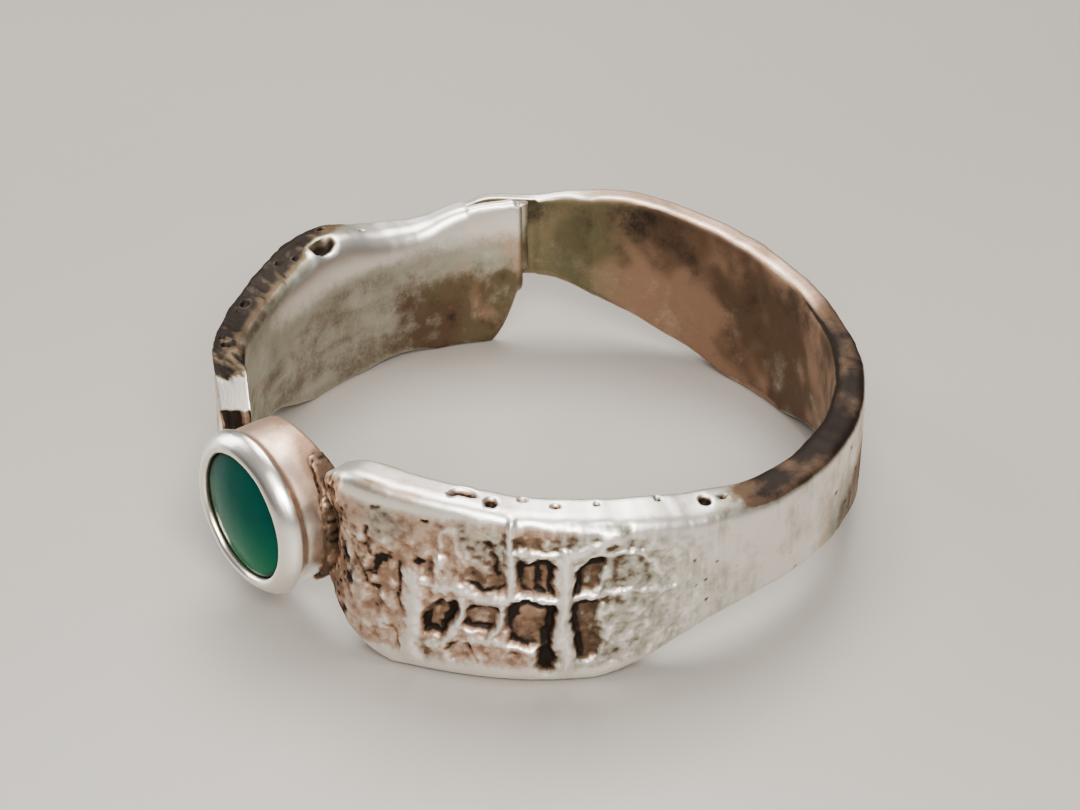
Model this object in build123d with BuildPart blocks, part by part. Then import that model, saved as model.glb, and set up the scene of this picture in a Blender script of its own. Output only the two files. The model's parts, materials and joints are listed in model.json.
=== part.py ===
from build123d import *
import os

# A hand-forged silver finger ring with one round green cabochon. The band is two
# strips of silver, a wide textured one and a shorter one. They are lapped and
# soldered at the back, and soldered to the stone's collar at the front.
#
# Frame: Z is the axis of the finger hole, z = 0 is the plane the ring rests on,
# and the stone faces -Y. Azimuths are degrees about Z from +X, so the stone is
# at 270. All lengths are millimetres.

# Driving dimensions of the ring
bore_radius = 9.1
ring_height = 6.3
stone_radius = 2.15
stone_clearance = 0.03
setting_height = 3.5

# Stone setting, as distances from the finger hole's axis
floor_back = 9.2
floor_face = 9.9
girdle_top = 10.95
stone_top = 11.3
rim_front = 11.2

# Stone setting, as radii about the stone's own axis
seat_radius = stone_radius + stone_clearance
rim_opening = 1.95
collar_radius = 2.42
groove_radius = 2.36
rim_radius = 2.56

# Solder between the collar and the strips, and between the lapped strips
seam_width = 0.14
seam_outer = 10.1
lap_start = 146
lap_end = 155
lap_inner = 9.5
lap_outer = 9.6
lap_bottom = 2.75
lap_top = 4.75

# A strip's cross-section starts this far inside the bore, which then trims it
bore_overlap = 0.5
corner_radius = 0.22

# Cross-sections along the wide strip, from the collar round to the back:
# azimuth, bottom height, top height at the bore, top height outside, outer radius
wide_stations = [
    (279, 1.90, 4.75, 4.90, 9.75),
    (284, 1.30, 5.60, 5.70, 9.98),
    (289, 0.65, 6.00, 6.20, 10.36),
    (300, -0.15, 6.00, 6.20, 10.42),
    (320, -0.15, 5.85, 5.75, 10.42),
    (334, 0.15, 5.75, 5.35, 10.40),
    (348, 1.20, 5.55, 5.00, 10.42),
    (370, 1.75, 5.10, 4.85, 10.44),
    (395, 1.45, 5.00, 4.90, 10.20),
    (420, 0.85, 4.98, 4.92, 9.95),
    (436, 0.15, 5.05, 5.00, 9.92),
    (450, -0.15, 5.28, 5.25, 9.95),
    (464, 0.30, 5.52, 5.48, 9.98),
    (480, 1.15, 5.80, 5.72, 10.00),
]

# The wide strip's tail leaves the bore and runs outside the short strip's end:
# azimuth, bottom height, top height, inner radius, outer radius
tail_stations = [
    (493, 1.95, 5.62, 9.28, 10.04),
    (504, 2.30, 5.45, 9.48, 10.10),
    (516, 2.60, 5.20, 9.48, 10.14),
]

# Cross-sections along the short strip, from the lap round to the collar. Just before
# the collar its top is cut down steeply, and a low tongue runs on to the collar.
short_stations = [
    (146, 2.00, 5.05, 5.00, 9.75),
    (149.5, 0.50, 5.28, 5.22, 9.85),
    (154, -0.15, 5.26, 5.16, 9.95),
    (160, -0.15, 5.12, 5.02, 10.05),
    (168, 0.10, 4.85, 4.80, 10.40),
    (178, 0.10, 5.05, 5.00, 10.70),
    (188, -0.15, 5.40, 5.40, 10.80),
    (203, 0.25, 4.95, 5.15, 10.55),
    (214, 0.85, 4.75, 4.98, 10.40),
    (225, 1.00, 4.85, 5.18, 10.25),
    (233, 1.05, 5.15, 5.30, 10.15),
    (238.5, 1.10, 5.15, 5.10, 10.08),
    (243, 1.15, 4.20, 4.10, 10.02),
    (246.5, 1.20, 3.25, 3.15, 10.00),
    (251, 1.35, 2.92, 2.90, 10.00),
    (257, 1.45, 2.85, 2.85, 9.97),
]


def polar(radius, azimuth):
    """Point in the ring's plan."""
    return Vector(radius, 0, 0).rotate(Axis.Z, azimuth)


def radial_plane(azimuth):
    """Upright plane through the finger hole's axis: local x is outward, local y is up."""
    outward = polar(1, azimuth)
    return Plane(origin=(0, 0, 0), x_dir=outward, z_dir=outward.cross(Vector(0, 0, 1)))


def strip_section(azimuth, bottom, top_inner, top_outer, inner, outer):
    """One cross-section of a strip, with worn corners."""
    with BuildSketch(radial_plane(azimuth)) as section:
        with BuildLine():
            Polyline(
                (inner, bottom),
                (outer, bottom),
                (outer, top_outer),
                (inner, top_inner),
                close=True,
            )
        make_face()
        fillet(section.vertices(), corner_radius)
    return section.sketch


def bored_sections(stations):
    """The cross-sections of a strip whose inner face is the bore itself."""
    inner = bore_radius - bore_overlap
    return [
        strip_section(azimuth, bottom, top_inner, top_outer, inner, outer)
        for azimuth, bottom, top_inner, top_outer, outer in stations
    ]


def sector(start, end, inner, outer):
    """Flat face on the resting plane between two azimuths and two radii."""
    middle = (start + end) / 2
    with BuildSketch() as wedge:
        with BuildLine():
            ThreePointArc(polar(inner, start), polar(inner, middle), polar(inner, end))
            Line(polar(inner, end), polar(outer, end))
            ThreePointArc(polar(outer, end), polar(outer, middle), polar(outer, start))
            Line(polar(outer, start), polar(inner, start))
        make_face()
    return wedge.sketch


def seam_section(left, right, bottom, top):
    """The part of the solder ring around the collar that lies inside a rectangle."""
    with BuildSketch(front_plane.offset(bore_radius - bore_overlap)) as seam:
        Circle(collar_radius + seam_width)
        Circle(collar_radius, mode=Mode.SUBTRACT)
        with Locations(((left + right) / 2, (bottom + top) / 2)):
            Rectangle(right - left, top - bottom, mode=Mode.INTERSECT)
    return seam.sketch


# Planes through the stone's axis, which runs outward from the finger hole.
# On setting_plane, local x is distance from the finger hole's axis and local y
# is height above the stone's axis. front_plane looks at the stone face on.
setting_plane = Plane(
    origin=(0, 0, setting_height), x_dir=(0, -1, 0), z_dir=(-1, 0, 0)
)
front_plane = Plane(origin=(0, 0, setting_height), x_dir=(1, 0, 0), z_dir=(0, -1, 0))
setting_axis = Axis((0, 0, setting_height), (0, -1, 0))
setting_back = bore_radius - bore_overlap

# Finger hole, and the room that the collar and its solder take out of both strips
with BuildPart() as finger_hole:
    Cylinder(bore_radius, 3 * ring_height)
with BuildPart() as setting_room:
    with BuildSketch(front_plane):
        Circle(collar_radius + seam_width)
    extrude(amount=2 * bore_radius)

# Collar: a tube around the stone, with a groove behind a thick rim that is rubbed
# over the stone's edge
groove_start = rim_front - 0.95
groove_middle = rim_front - 0.78
rim_widest = rim_front - 0.52
rim_undercut = rim_front - 0.22
with BuildPart() as bezel_collar:
    with BuildSketch(setting_plane):
        with BuildLine():
            Polyline(
                (rim_undercut, seat_radius),
                (setting_back, seat_radius),
                (setting_back, collar_radius),
                (groove_start, collar_radius),
            )
            Spline(
                (groove_start, collar_radius),
                (groove_middle, groove_radius),
                (rim_widest, rim_radius),
                (rim_front - 0.2, rim_radius - 0.16),
                (rim_front - 0.02, rim_radius - 0.4),
                (rim_front - 0.1, rim_opening),
                tangents=[(1, -0.2), (-1, -0.6)],
            )
            Line((rim_front - 0.1, rim_opening), (rim_undercut, seat_radius))
        make_face()
    revolve(axis=setting_axis)
    add(finger_hole.part, mode=Mode.SUBTRACT)

# Floor: a disc inside the collar, hollowed behind round the same axis as the finger
# hole and set a little back from its wall, so that it never rubs the finger
with BuildPart() as bezel_floor:
    with BuildSketch(front_plane.offset(setting_back)):
        Circle(seat_radius)
    extrude(amount=floor_face - setting_back)
    Cylinder(floor_back, 3 * ring_height, mode=Mode.SUBTRACT)

# Cabochon: flat base, short straight girdle and a low dome
dome_rise = stone_top - girdle_top
dome_radius = (stone_radius**2 + dome_rise**2) / (2 * dome_rise)
with BuildPart() as cabochon:
    with BuildSketch(setting_plane):
        with BuildLine():
            Polyline(
                (stone_top, 0),
                (floor_face, 0),
                (floor_face, stone_radius),
                (girdle_top, stone_radius),
            )
            RadiusArc((girdle_top, stone_radius), (stone_top, 0), dome_radius)
        make_face()
    revolve(axis=setting_axis)

# Wide strip: from the right of the collar round to the lap at the back
wide_sections = bored_sections(wide_stations) + [
    strip_section(azimuth, bottom, top, top, inner, outer)
    for azimuth, bottom, top, inner, outer in tail_stations
]
tail_clearance = sector(lap_start - 4, lap_end + 5, bore_radius - 1, lap_outer)
with BuildPart() as wide_strip:
    loft(wide_sections)
    add(finger_hole.part, mode=Mode.SUBTRACT)
    add(setting_room.part, mode=Mode.SUBTRACT)
    extrude(tail_clearance, amount=ring_height, mode=Mode.SUBTRACT)
    split(bisect_by=Plane.XY)

# Short strip: from the lap round to the left of the collar
lap_clearance = sector(lap_start - 5, lap_end + 2, lap_inner, 2 * bore_radius)
with BuildPart() as short_strip:
    loft(bored_sections(short_stations))
    add(finger_hole.part, mode=Mode.SUBTRACT)
    add(setting_room.part, mode=Mode.SUBTRACT)
    extrude(lap_clearance, amount=ring_height, mode=Mode.SUBTRACT)
    split(bisect_by=Plane.XY)

# Solder in the lap: a film between the strips and a bead along the short strip's end
bead_start = lap_start - 1.7
with BuildPart() as lap_joint_solder:
    with BuildSketch(Plane.XY.offset(lap_bottom)):
        add(sector(lap_start - 0.1, lap_end, lap_inner, lap_outer))
        with BuildLine():
            Polyline(
                polar(lap_outer, bead_start),
                polar(lap_outer, lap_start),
                polar(bore_radius + 0.12, lap_start),
                close=True,
            )
        make_face()
    extrude(amount=lap_top - lap_bottom)

# Solder seams between the collar's sides and the ends of the two strips
with BuildPart() as bezel_solder_right:
    extrude(seam_section(1.25, 3, -1.9, 1.9), amount=seam_outer - setting_back)
    add(finger_hole.part, mode=Mode.SUBTRACT)
with BuildPart() as bezel_solder_left:
    extrude(seam_section(-3, -1.5, -1.9, -0.7), amount=seam_outer - setting_back)
    add(finger_hole.part, mode=Mode.SUBTRACT)

pieces = {
    "wide_strip": wide_strip,
    "short_strip": short_strip,
    "bezel_collar": bezel_collar,
    "bezel_floor": bezel_floor,
    "cabochon": cabochon,
    "lap_joint_solder": lap_joint_solder,
    "bezel_solder_right": bezel_solder_right,
    "bezel_solder_left": bezel_solder_left,
}
os.makedirs("parts", exist_ok=True)
for name, piece in pieces.items():
    piece.part.label = name
    export_step(piece.part, f"parts/{name}.step")
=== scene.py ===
import json
import math

import bpy
import numpy as np
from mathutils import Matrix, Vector
from mathutils.bvhtree import BVHTree


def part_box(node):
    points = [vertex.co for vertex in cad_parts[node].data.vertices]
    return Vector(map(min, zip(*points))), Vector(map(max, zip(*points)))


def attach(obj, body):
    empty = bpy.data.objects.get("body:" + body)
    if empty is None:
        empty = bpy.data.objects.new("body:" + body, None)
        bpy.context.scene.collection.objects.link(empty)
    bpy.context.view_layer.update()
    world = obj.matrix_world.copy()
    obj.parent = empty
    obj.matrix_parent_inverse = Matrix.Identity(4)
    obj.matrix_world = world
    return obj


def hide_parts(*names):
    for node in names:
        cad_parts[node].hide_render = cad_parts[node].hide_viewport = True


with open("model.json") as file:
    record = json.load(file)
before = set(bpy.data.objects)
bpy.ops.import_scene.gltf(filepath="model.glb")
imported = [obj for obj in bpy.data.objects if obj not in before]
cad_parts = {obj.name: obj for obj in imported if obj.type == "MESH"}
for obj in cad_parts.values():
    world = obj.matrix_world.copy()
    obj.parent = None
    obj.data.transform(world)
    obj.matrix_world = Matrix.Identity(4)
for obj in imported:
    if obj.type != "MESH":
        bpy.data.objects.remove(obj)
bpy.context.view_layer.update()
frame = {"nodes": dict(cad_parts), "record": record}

# The looks of a forged silver ring with a green cabochon. Lengths are in millimetres
# and azimuths in degrees about Z, with the stone at 270; meshes are written in metres.
# A strip is a grid of columns, one to an azimuth, and rows round its cross-section.
# Its relief and its tarnish are worked out on that grid.
MM = 0.001
mounts = {mount["name"]: mount for mount in frame["record"]["mounts"]}
BORE = mounts["finger_hole"]["dims"]["r_mm"]
STONE_AZIMUTH = 270.0


def box_mm(node):
    """Low and high corner of a CAD node's box."""
    low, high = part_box(node)
    return np.array(low) / MM, np.array(high) / MM


stone_low, stone_high = box_mm("cabochon")
collar_low, collar_high = box_mm("bezel_collar")
floor_low, floor_high = box_mm("bezel_floor")
STONE_Z = (stone_low[2] + stone_high[2]) / 2
STONE_RADIUS = (stone_high[0] - stone_low[0]) / 2
STONE_FRONT = -stone_low[1]
STONE_BASE = -stone_high[1]
RIM_RADIUS = (collar_high[0] - collar_low[0]) / 2
RIM_FRONT = -collar_low[1]
FLOOR_RADIUS = (floor_high[0] - floor_low[0]) / 2
FLOOR_BACK = math.hypot(floor_high[1], FLOOR_RADIUS)


# Noise and blends
def smooth(low, high, value):
    """0 below low, 1 above high, smooth between. low may be above high."""
    t = np.clip((value - low) / (high - low), 0, 1)
    return t * t * (3 - 2 * t)


def mix(a, b, share):
    """a where share is 0, b where it is 1."""
    return a + (b - a) * share


def lattice_noise(u, v, seed):
    """Smooth noise from -1 to 1; u and v are counted in cells."""
    side = 128
    table = np.random.RandomState(seed).uniform(-1, 1, (side, side))
    cell_u, cell_v = np.floor(u).astype(int), np.floor(v).astype(int)
    share_u, share_v = smooth(0, 1, u - cell_u), smooth(0, 1, v - cell_v)

    def corner(i, j):
        return table[(cell_u + i) % side, (cell_v + j) % side]

    near = mix(corner(0, 0), corner(1, 0), share_u)
    far = mix(corner(0, 1), corner(1, 1), share_u)
    return mix(near, far, share_v)


def fractal(u, v, size, seed, octaves=3):
    """Layered noise about -1 to 1 whose largest lumps are size millimetres."""
    total, weight = 0.0, 0.0
    for octave in range(octaves):
        scale = 2.0 ** octave / size
        gain = 0.55 ** octave
        # each octave is turned, so that the lattices don't line up
        turn = 0.6 + octave
        a = u * math.cos(turn) - v * math.sin(turn)
        b = u * math.sin(turn) + v * math.cos(turn)
        total = total + gain * lattice_noise(a * scale, b * scale, seed + octave)
        weight += gain
    return total / weight * 1.6


def spots(u, v, spacing, radius, seed, share=1.0):
    """Round pits scattered one to a cell: 1 in a pit's middle, 0 outside it."""
    rng = np.random.RandomState(seed)
    side = 64
    place_u, place_v = rng.uniform(0.15, 0.85, (2, side, side))
    size = rng.uniform(0.45, 1.0, (side, side)) * (rng.uniform(0, 1, (side, side)) < share)
    cell_u, cell_v = np.floor(u / spacing).astype(int), np.floor(v / spacing).astype(int)
    depth = np.zeros(np.broadcast(u, v).shape)
    for i in (-1, 0, 1):
        for j in (-1, 0, 1):
            row, column = (cell_u + i) % side, (cell_v + j) % side
            far_u = u - (cell_u + i + place_u[row, column]) * spacing
            far_v = v - (cell_v + j + place_v[row, column]) * spacing
            reach = radius * size[row, column] + 1e-6
            depth = np.maximum(depth, smooth(1.0, 0.35, np.hypot(far_u, far_v) / reach))
    return depth


# Relief drawing
# Azimuth is turned into millimetres along the outside of the band, so that marks
# on it keep their shape.
OUTSIDE_RADIUS = 10.42
ALONG = math.radians(1) * OUTSIDE_RADIUS


def stroke(azimuth, height, points, width):
    """A raised or sunk line through points (azimuth, height): 1 on the line, 0 beyond its width."""
    nearest = np.full(np.broadcast(azimuth, height).shape, 1e9)
    for (a0, z0), (a1, z1) in zip(points, points[1:]):
        du, dz = (a1 - a0) * ALONG, z1 - z0
        u, z = (azimuth - a0) * ALONG, height - z0
        t = np.clip((u * du + z * dz) / (du * du + dz * dz), 0, 1)
        nearest = np.minimum(nearest, np.hypot(u - t * du, z - t * dz))
    return smooth(width, 0.0, nearest)


def cell(azimuth, height, left, right, bottom, top, soft=0.16, lean=0.0):
    """A sunk rectangle with soft, rounded walls: 1 inside, 0 outside."""
    middle = (left + right) / 2
    u = (azimuth - middle) * ALONG - lean * (height - (bottom + top) / 2)
    half = (right - left) / 2 * ALONG
    du = np.abs(u) - half
    dz = np.abs(height - (bottom + top) / 2) - (top - bottom) / 2
    outside = np.hypot(np.maximum(du + soft, 0), np.maximum(dz + soft, 0))
    return smooth(soft * 1.35, soft * 0.45, outside)


def blurred(values, reach, times=3):
    """Values of a (columns, rows) grid averaged with their neighbours; rows run in a ring."""
    span = range(2 * reach + 1)
    for _ in range(times):
        padded = np.pad(values, ((reach, reach), (0, 0)), "edge")
        values = sum(padded[i:i + len(values)] for i in span) / len(span)
        values = sum(np.roll(values, i - reach, 1) for i in span) / len(span)
    return values


def bump_over(value, middle, reach):
    """1 at middle, falling smoothly to 0 at reach to either side."""
    return smooth(reach, 0.0, np.abs(value - middle))


# Reading the CAD
def tree_of(node):
    """A CAD node's mesh, ready for casting rays at."""
    mesh = frame["nodes"][node].data
    points = [v.co / MM for v in mesh.vertices]
    return BVHTree.FromPolygons(points, [tuple(p.vertices) for p in mesh.polygons])


def measure_strip(node, azimuths, level):
    """Inner and outer radius, bottom, and top at the bore and outside, at each azimuth.

    Rays are cast at the given level; azimuths where they miss the strip continue the
    line of the nearest ones that hit.
    """
    tree = tree_of(node)
    far = 2 * BORE
    # the top's height is taken this far outside the inner face and inside the outer one
    past_bore, before_outside = 0.06, 0.25
    known, rows = [], []
    for azimuth in azimuths:
        angle = math.radians(azimuth)
        out = Vector((math.cos(angle), math.sin(angle), 0))
        up = Vector((0, 0, 1))
        from_axis = tree.ray_cast(up * level, out)[3]
        from_outside = tree.ray_cast(up * level + out * far, -out)[3]
        if from_axis is None or from_outside is None or from_outside > BORE:
            continue
        inner, outer = from_axis, far - from_outside
        under = tree.ray_cast(out * (inner + outer) / 2 - up * far, up)[3]
        over_in = tree.ray_cast(out * (inner + past_bore) + up * far, -up)[3]
        over_out = tree.ray_cast(out * (outer - before_outside) + up * far, -up)[3]
        if None in (under, over_in, over_out):
            continue
        known.append(azimuth)
        rows.append((inner, outer, under - far, far - over_in, far - over_out))
    known, rows = np.array(known), np.array(rows)
    return [carry_on(azimuths, known, column) for column in rows.T]


def carry_on(azimuths, known, values):
    """Values known at some azimuths, read at all of them, with straight ends."""
    full = np.interp(azimuths, known, values)
    before, after = azimuths < known[0], azimuths > known[-1]
    count = 5
    start_slope = (values[count] - values[0]) / (known[count] - known[0])
    end_slope = (values[-1] - values[-1 - count]) / (known[-1] - known[-1 - count])
    full[before] += start_slope * (azimuths[before] - known[0])
    full[after] += end_slope * (azimuths[after] - known[-1])
    return full


# Strips as grids
def rounded_profile(corners, roundings, counts, arc):
    """Closed outline through four corners, rounded, as (columns, rows) arrays of r and z.

    corners holds four (r, z) pairs of per-column arrays, roundings four lengths, counts
    the rows on the side that leaves each corner, and arc the rows round each corner.
    """
    # a rounding takes no more than this share of a side
    most = 0.45
    corners = [np.array(corner) for corner in corners]
    rows = []
    for i in range(4):
        last, here, after = corners[i - 1], corners[i], corners[(i + 1) % 4]
        on, back = after - here, last - here
        length, back_length = np.hypot(*on), np.hypot(*back)
        start = here + back / back_length * np.minimum(roundings[i], back_length * most)
        end = here + on / length * np.minimum(roundings[i], length * most)
        stop = after - on / length * np.minimum(roundings[(i + 1) % 4], length * most)
        for t in np.linspace(0, 1, arc, endpoint=False):
            rows.append((1 - t) ** 2 * start + 2 * t * (1 - t) * here + t * t * end)
        for t in np.linspace(0, 1, counts[i], endpoint=False):
            rows.append(mix(end, stop, t))
    return np.array(rows).transpose(1, 2, 0)


def profile_normals(r, z):
    """Outward unit normals of closed outlines that run counter-clockwise in (r, z)."""
    along_r = np.roll(r, -1, 1) - np.roll(r, 1, 1)
    along_z = np.roll(z, -1, 1) - np.roll(z, 1, 1)
    length = np.hypot(along_r, along_z) + 1e-9
    return along_z / length, -along_r / length


def path_length(r, z):
    """Distance round each outline from its first row."""
    steps = np.hypot(np.diff(r, axis=1), np.diff(z, axis=1))
    return np.concatenate([np.zeros((len(r), 1)), np.cumsum(steps, axis=1)], axis=1)


def surface_of(azimuth, r, z):
    """A strip's azimuth and length along the band at each vertex, its path and its normals."""
    a = np.repeat(azimuth[:, None], r.shape[1], 1)
    return a, a * ALONG, path_length(r, z), *profile_normals(r, z)


def capped(r, z, azimuth, bulge_start, bulge_end, rings=7):
    """The grid with rings added at each end that close it in a rounded cap."""
    least = 0.02

    def cap(index, bulge):
        centre_r, centre_z = r[index].mean(), z[index].mean()
        half = (r[index].max() - r[index].min()) / 2
        height = z[index] - centre_z
        limit = np.abs(height).max()
        made = []
        for turn in np.linspace(0, math.pi / 2, rings + 1)[1:]:
            keep_r = max(math.cos(turn), least)
            # the cap is as round across as the strip is thick, and no rounder along z
            keep_z = max(1 - half * (1 - keep_r) / limit, least)
            ring_r = centre_r + (r[index] - centre_r) * keep_r
            push = bulge * math.sin(turn) / ALONG
            made.append((ring_r, centre_z + height * keep_z, azimuth[index] + push))
        return made

    parts = cap(0, -bulge_start)[::-1] + list(zip(r, z, azimuth)) + cap(-1, bulge_end)
    return [np.array(grid) for grid in zip(*parts)]


def build_grid(name, points, shares=None, outline_closes=True, columns_close=False):
    """Mesh object from points of shape (columns, rows, 3), with shares as vertex attributes.

    Open columns get a cap at both ends. The first and last row of an open outline are
    each closed by a fan to a middle vertex.
    """
    columns, rows, _ = points.shape
    index = np.arange(columns * rows).reshape(columns, rows)
    a = index if columns_close else index[:-1]
    b = np.roll(index, -1, 0) if columns_close else index[1:]
    if outline_closes:
        a2, b2 = np.roll(a, -1, 1), np.roll(b, -1, 1)
    else:
        a, a2, b, b2 = a[:, :-1], a[:, 1:], b[:, :-1], b[:, 1:]
    faces = np.stack([a, b, b2, a2], -1).reshape(-1, 4).tolist()
    if not columns_close:
        faces += [index[0].tolist(), index[-1][::-1].tolist()]
    corners = points.reshape(-1, 3)
    if not outline_closes:
        for ring in (index[::-1, 0], index[:, -1]):
            middle = len(corners)
            corners = np.vstack([corners, corners[ring].mean(axis=0)])
            spokes = zip(ring.tolist(), np.roll(ring, -1).tolist())
            faces += [(middle, here, after) for here, after in spokes]
    mesh = bpy.data.meshes.new(name)
    mesh.from_pydata((corners * MM).tolist(), [], faces)
    for key, values in (shares or {}).items():
        layer = mesh.attributes.new(key, "FLOAT", "POINT")
        full = np.append(values, [values.mean()] * (len(corners) - values.size))
        layer.data.foreach_set("value", full.astype(np.float32))
    mesh.polygons.foreach_set("use_smooth", [True] * len(mesh.polygons))
    mesh.update()
    piece = bpy.data.objects.new(name, mesh)
    bpy.context.scene.collection.objects.link(piece)
    return piece


def looks(dark, warm, olive=0.0, lowest=-0.4, highest=1.3):
    """Vertex attributes that the silver material reads: its tarnish and that tarnish's hue."""
    return {
        "tarnish": np.clip(dark, lowest, highest),
        "warmth": np.clip(warm + 0 * dark, 0, 1),
        "olive": np.clip(olive + 0 * dark, 0, 1),
    }


def stand_for(piece, node):
    """Lets a piece ride the ring's one body in place of a CAD node."""
    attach(piece, "root")
    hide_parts(node)
    return piece


def place(r, azimuth, z):
    """Points from radius, azimuth and height."""
    angle = np.radians(azimuth)
    return np.stack([r * np.cos(angle), r * np.sin(angle), z], -1)


def hug_collar(azimuth, r, z, first, last, side):
    """Columns near the collar are drawn up to the collar's round side.

    first is the column azimuth at the collar, last the azimuth where the pull ends,
    and side is 1 right of the stone and -1 left of it.
    """
    # the strips stop this far from the stone's axis, just outside the collar's side
    reach = RIM_RADIUS - 0.09
    across = np.sqrt(np.maximum(reach ** 2 - (z - STONE_Z) ** 2, 0))
    edge = STONE_AZIMUTH + side * np.degrees(np.arcsin(np.clip(across / r, 0, 0.9)))
    edge = np.maximum(edge, first) if side > 0 else np.minimum(edge, first)
    share = np.clip((azimuth - last) / (first - last), 0, 1)
    return azimuth + (edge - first) * share


# The wide strip

# Raised ridges of the punched pattern: points by azimuth and height, width and rise
RIDGES = (
    ([(325.4, 4.6), (325.2, 3.0), (325.3, 0.7)], 0.36, 1.0),
    ([(325.6, 4.5), (328.6, 4.75), (331.5, 4.85), (334.0, 5.1)], 0.38, 0.8),
    ([(301.4, 3.5), (301.1, 2.0), (300.8, 0.8)], 0.46, 0.9),
    ([(300.8, 3.3), (304.5, 3.25), (309.5, 3.2), (313.5, 2.95), (316.5, 3.05)], 0.36, 0.8),
    ([(316.0, 3.05), (320.0, 3.08), (324.8, 3.05)], 0.16, 0.8),
    ([(305.4, 4.2), (305.9, 3.8), (306.3, 3.3)], 0.22, 0.6),
    ([(316.8, 5.6), (317.1, 4.5), (316.9, 3.1)], 0.20, 0.8),
    ([(317.2, 4.60), (320.5, 4.58), (325.0, 4.60)], 0.20, 0.7),
    ([(309.2, 2.9), (308.0, 1.9), (306.3, 1.3)], 0.24, 0.7),
    ([(315.5, 2.8), (314.9, 2.0), (313.2, 1.6)], 0.16, 0.7),
    ([(302.0, 1.2), (306.0, 1.3), (312.0, 1.5), (320.0, 1.25)], 0.20, 0.4),
    ([(327.0, 4.1), (328.6, 4.45), (331.5, 4.55), (336.0, 4.46), (339.5, 4.1), (340.8, 3.5)], 0.13, 0.5),
    ([(326.8, 3.1), (333.0, 3.1), (343.0, 3.0)], 0.16, 0.3),
    ([(305.6, 4.5), (306.4, 5.1), (308.0, 5.2), (309.3, 4.4)], 0.12, 0.3),
)

# Sunk cells between the ridges: left, right, bottom, top, lean, depth and the floor's darkness
CELLS = (
    (303.2, 307.6, 1.50, 2.75, 0.45, 0.9, 0.35),
    (309.4, 315.0, 1.85, 2.70, 0.20, 0.7, 0.30),
    (316.2, 323.7, 1.35, 2.95, 0.05, 0.9, 0.50),
    (320.6, 323.4, 0.50, 1.60, 0.00, 0.6, 0.50),
    (318.0, 323.8, 3.15, 4.38, 0.00, 0.8, 0.50),
    (326.8, 331.2, 3.20, 4.40, 0.25, 0.8, 0.40),
    (326.8, 330.8, 0.90, 2.95, 0.05, 0.6, 0.38),
    (317.7, 321.8, 4.80, 5.25, 0.00, 0.3, 0.30),
    (310.4, 316.4, 3.45, 4.95, 0.10, 0.3, 0.12),
    (303.2, 305.0, 3.55, 4.30, 0.10, 0.4, 0.30),
    (306.4, 310.9, 0.75, 1.35, 0.00, 0.3, 0.15),
    (331.0, 339.0, 3.20, 4.35, 0.00, 0.2, 0.10),
    (294.2, 299.6, 2.60, 4.20, 0.00, 0.2, 0.20),
)

# Patina and painted shade in the cells' corners, and the few cut lines: points, width, darkness and depth
CUTS = (
    ([(303.6, 2.6), (303.0, 1.7), (305.9, 1.55), (307.2, 2.5)], 0.22, 0.6, 0.5),
    ([(309.4, 2.1), (311.4, 1.95), (313.0, 1.9)], 0.18, 0.5, 0.4),
    ([(309.9, 2.5), (312.6, 2.66), (314.7, 2.6)], 0.13, 0.45, 0.3),
    ([(316.5, 2.4), (317.4, 2.8), (319.6, 2.88), (322.0, 2.75)], 0.26, 0.6, 0.5),
    ([(322.9, 2.7), (322.7, 1.9), (322.3, 0.7)], 0.28, 0.6, 0.5),
    ([(318.1, 3.8), (318.8, 4.25), (323.0, 4.2)], 0.20, 0.5, 0.4),
    ([(321.2, 4.2), (321.4, 3.3)], 0.16, 0.5, 0.5),
    ([(323.3, 4.1), (323.2, 3.3)], 0.16, 0.5, 0.4),
    ([(327.3, 3.3), (327.5, 3.9), (328.8, 4.25), (331.0, 4.35)], 0.24, 0.6, 0.5),
    ([(327.0, 2.85), (329.5, 2.9), (332.0, 2.88)], 0.16, 0.5, 0.3),
    ([(327.3, 2.8), (327.4, 1.2)], 0.24, 0.35, 0.3),
    ([(310.0, 3.55), (312.0, 3.45), (313.0, 3.33), (315.6, 3.48)], 0.13, 0.6, 0.4),
    ([(314.6, 4.5), (315.0, 3.9)], 0.16, 0.6, 0.4),
    ([(312.8, 4.95), (314.1, 4.80)], 0.14, 0.55, 0.4),
    ([(293.0, 4.75), (293.1, 4.2), (293.8, 3.8)], 0.15, 0.6, 0.5),
    ([(290.8, 3.6), (292.8, 3.1), (294.6, 2.6), (295.6, 2.2)], 0.16, 0.6, 0.5),
    ([(299.3, 3.75), (299.1, 3.1), (298.8, 2.3)], 0.14, 0.5, 0.4),
    ([(295.5, 1.5), (297.5, 1.45), (299.0, 0.9)], 0.08, 0.35, 0.4),
    ([(306.5, 1.0), (308.5, 1.4), (310.0, 1.3), (311.4, 0.8)], 0.09, 0.4, 0.5),
    ([(316.0, 5.9), (322.0, 5.80), (328.0, 5.62), (332.0, 5.42), (335.2, 5.2)], 0.22, 0.75, 0.5),
    ([(303.0, 5.28), (304.2, 5.34)], 0.12, 0.8, 0.6),
    ([(294.6, 5.5), (296.0, 5.6)], 0.13, 0.4, 0.4),
    ([(302.3, 3.92), (302.8, 3.98)], 0.22, 1.0, 0.9),
    ([(331.8, 4.72), (333.4, 4.80)], 0.14, 0.4, 0.3),
    ([(315.8, 1.08), (317.4, 1.12)], 0.07, 0.4, 0.3),
)

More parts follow.
